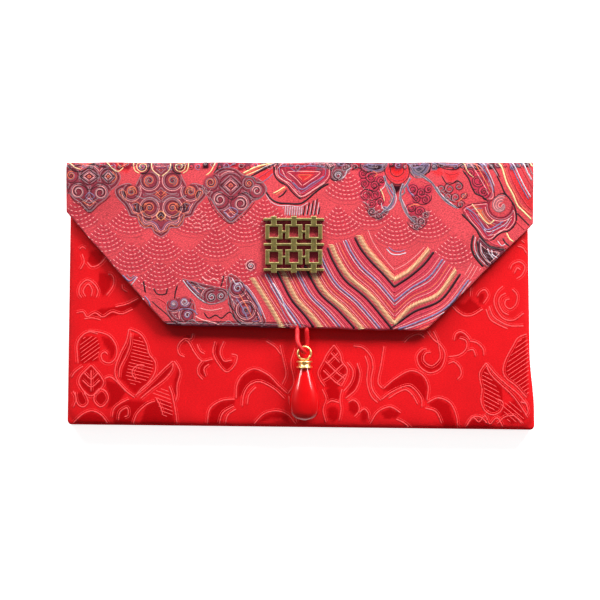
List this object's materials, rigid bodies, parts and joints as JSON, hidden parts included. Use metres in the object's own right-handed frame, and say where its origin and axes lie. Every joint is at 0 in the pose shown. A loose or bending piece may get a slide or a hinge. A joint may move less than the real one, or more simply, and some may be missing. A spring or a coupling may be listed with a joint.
{
  "type": "red envelope",
  "caption": "Flat cloth gift-money pouch with a folding brocade flap, an openwork brass plaque on the flap and a drop pendant on a cord loop.",
  "frame": {"origin": "middle of the pouch's back, on the surface it lies on", "axes": "+X along the fold, +Y from the bottom seam up to the fold, +Z out of the front"},
  "size_m": [0.1908, 0.109, 0.0141],
  "materials": {
    "damask": "red tone-on-tone damask satin",
    "brocade": "coral brocade with coloured weft pattern",
    "lining": "plain red lining",
    "interlining": "white non-woven interlining",
    "thread": "red sewing thread",
    "antique_brass": "antique cast brass, worn bright on the edges",
    "gold": "polished gold-coloured plate",
    "snap_metal": "nickel-coloured press stud",
    "cord": "round red satin cord",
    "drop_red": "glossy translucent red acrylic"
  },
  "bodies": {
    "pouch": {"back_panel": "damask", "back_interlining": "interlining", "back_lining": "lining", "front_panel": "damask", "front_interlining": "interlining", "front_lining": "lining", "seam_stitches": "thread", "snap_stud": "snap_metal", "snap_stud_stitches": "thread"},
    "spine": {"spine_brocade": "brocade", "spine_interlining": "interlining", "spine_lining": "lining"},
    "flap": {"flap_brocade": "brocade", "flap_interlining": "interlining", "flap_lining": "lining", "fret_plaque": "antique_brass", "snap_socket": "snap_metal", "snap_spring": "snap_metal", "snap_socket_stitches": "thread"},
    "loop": {"pendant_cord": "cord"},
    "pendant": {"pendant_eye_pin": "gold", "pendant_cap": "gold", "pendant_drop": "drop_red"}
  },
  "joints": [
    {"name": "spine_fold", "type": "hinge", "parent": "pouch", "child": "spine", "pos_m": [0, 0.05325, 0.00125], "axis": [-1, 0, 0], "range_deg": [0, 87]},
    {"name": "flap_fold", "type": "hinge", "parent": "spine", "child": "flap", "pos_m": [0, 0.05325, 0.0088], "axis": [-1, 0, 0], "range_deg": [0, 87]},
    {"name": "loop_lift", "type": "hinge", "parent": "flap", "child": "loop", "pos_m": [0.0004, -0.01405, 0.00942], "axis": [1, 0, 0], "range_deg": [-70, 0]},
    {"name": "pendant_sway", "type": "hinge", "parent": "loop", "child": "pendant", "pos_m": [0.0014, -0.0224, 0.0106], "axis": [0, 0, 1], "range_deg": [-45, 45]}
  ],
  "couplings": [
    {"joint": "spine_fold", "follows": "flap_fold", "ratio": 1}
  ]
}
